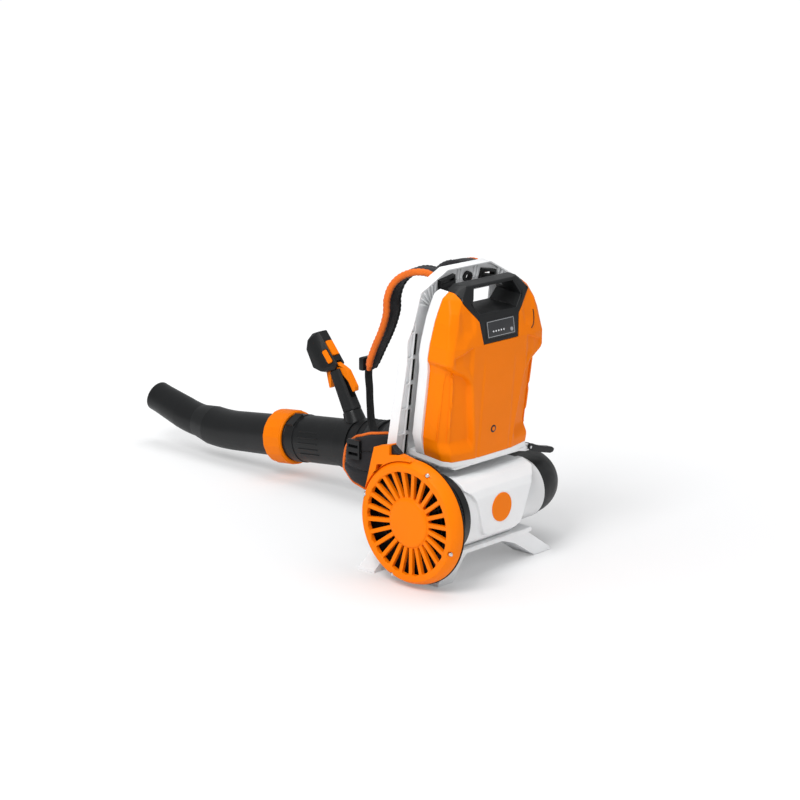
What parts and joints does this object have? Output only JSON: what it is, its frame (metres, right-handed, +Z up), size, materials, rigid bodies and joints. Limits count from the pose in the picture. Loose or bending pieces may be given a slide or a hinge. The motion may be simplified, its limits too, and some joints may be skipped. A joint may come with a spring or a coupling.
{
  "type": "backpack leaf blower",
  "caption": "Backpack leaf blower with a leaning battery, axial fan, dished intake grille, padded harness, ribbed hose, bent blow tube and a control handle.",
  "frame": {"origin": "on the ground, straight below the middle of the fan shaft and in the middle plane of the backplate", "axes": "+X the wearer's right, +Y forward (the way the blow tube points), +Z up"},
  "size_m": [0.5005, 1.3526, 0.6258],
  "materials": {
    "white_shell": "satin moulded",
    "orange_shell": "satin moulded",
    "black_shell": "fine grain moulded",
    "dark_panel": "semi gloss",
    "grey_key": "moulded",
    "steel": "satin",
    "aluminium": "turned",
    "board": "lacquered board",
    "cells": "sleeved",
    "hose_rubber": "matt",
    "cushion": "mesh cloth",
    "webbing": "woven"
  },
  "bodies": {
    "unit": {"base_stand": "white_shell", "backplate": "white_shell", "battery_cradle": "white_shell", "cradle_terminal": "black_shell", "housing_rear": "white_shell", "housing_front": "white_shell", "housing_badge": "orange_shell", "flow_duct": "black_shell", "stator_vanes": "black_shell", "motor_can": "aluminium", "motor_bearings": "steel", "tail_cone": "black_shell", "control_board": "board", "intake_duct": "black_shell", "intake_frame": "black_shell", "intake_screen": "black_shell", "intake_cover": "orange_shell", "cover_screws": "steel", "ear_insert": "black_shell", "outlet_duct": "white_shell", "elbow": "hose_rubber", "elbow_clamp": "steel", "back_pads": "cushion", "lumbar_pad": "cushion", "shoulder_strap_left": "cushion", "shoulder_strap_right": "cushion", "strap_webbing_left": "webbing", "strap_webbing_right": "webbing", "strap_adjusters": "black_shell", "strap_anchors": "black_shell", "carry_loop": "webbing", "hip_wing_left": "cushion", "hip_wing_right": "cushion", "hip_buckles": "black_shell", "lever_pivot": "steel"},
    "fan": {"fan_rotor": "black_shell", "motor_shaft": "steel"},
    "battery": {"battery_cover": "orange_shell", "battery_shell": "white_shell", "battery_handle": "black_shell", "battery_panel": "dark_panel", "battery_plug": "steel", "cell_pack": "cells", "battery_terminal": "black_shell"},
    "gauge": {"gauge_button": "grey_key"},
    "latch": {"battery_lever": "black_shell"},
    "hose": {"air_hose": "hose_rubber"},
    "tube": {"main_tube": "black_shell", "tube_clamp": "black_shell"},
    "ring": {"coupling_ring": "orange_shell"},
    "nozzle": {"nozzle": "black_shell"},
    "handle": {"handle_clamp": "black_shell", "handle_grip": "black_shell", "handle_head": "black_shell", "handle_display": "dark_panel", "handle_pins": "steel"},
    "trigger": {"throttle_trigger": "orange_shell"},
    "safety": {"lockout_lever": "orange_shell"},
    "side_button": {"button_left": "orange_shell"},
    "main_button": {"button_main": "orange_shell"}
  },
  "joints": [
    {"name": "fan_spin", "type": "hinge", "parent": "unit", "child": "fan", "pos_m": [-0.14, 0, 0.1345], "axis": [1, 0, 0], "continuous": true},
    {"name": "battery_lift", "type": "slide", "parent": "unit", "child": "battery", "axis": [0, -0.1219, 0.9925], "range_m": [0, 0.15]},
    {"name": "gauge_press", "type": "slide", "parent": "battery", "child": "gauge", "axis": [0, 0.9336, 0.3584], "range_m": [0, 0.0008], "stiffness_N_per_m": 500, "springref_m": -0.002},
    {"name": "latch_lift", "type": "hinge", "parent": "unit", "child": "latch", "pos_m": [0.136, -0.027, 0.229], "axis": [0, -1, 0], "range_deg": [0, 40]},
    {"name": "tube_pitch", "type": "hinge", "parent": "unit", "child": "hose", "pos_m": [0.219, 0.19, 0.1345], "axis": [1, 0, 0], "range_deg": [-15, 35], "deforming": ["air_hose"]},
    {"name": "tube_swing", "type": "hinge", "parent": "hose", "child": "tube", "pos_m": [0.219, 0.4, 0.127], "axis": [0, 0, 1], "range_deg": [-20, 20], "deforming": ["air_hose"]},
    {"name": "ring_turn", "type": "hinge", "parent": "tube", "child": "ring", "pos_m": [0.219, 0.75387, 0.09552], "axis": [0, 0.9954, -0.0958], "range_deg": [0, 40]},
    {"name": "nozzle_reach", "type": "slide", "parent": "tube", "child": "nozzle", "axis": [0, 0.9954, -0.0958], "range_m": [0, 0.04]},
    {"name": "handle_shift", "type": "slide", "parent": "tube", "child": "handle", "axis": [0, 0.9954, -0.0958], "range_m": [0, 0.04]},
    {"name": "trigger_pull", "type": "hinge", "parent": "handle", "child": "trigger", "pos_m": [0.219, 0.62277, 0.27987], "axis": [-1, 0, 0], "range_deg": [0, 14], "stiffness_Nm_per_rad": 0.4, "springref_deg": -14.32},
    {"name": "safety_press", "type": "hinge", "parent": "handle", "child": "safety", "pos_m": [0.219, 0.59625, 0.29392], "axis": [1, 0, 0], "range_deg": [0, 8], "stiffness_Nm_per_rad": 0.5, "springref_deg": -11.46},
    {"name": "side_button_press", "type": "slide", "parent": "handle", "child": "side_button", "axis": [0.8746, 0.373, -0.3097], "range_m": [0, 0.002], "stiffness_N_per_m": 500, "springref_m": -0.003},
    {"name": "main_button_press", "type": "slide", "parent": "handle", "child": "main_button", "axis": [0, 0.7694, -0.6388], "range_m": [0, 0.002], "stiffness_N_per_m": 500, "springref_m": -0.003}
  ]
}
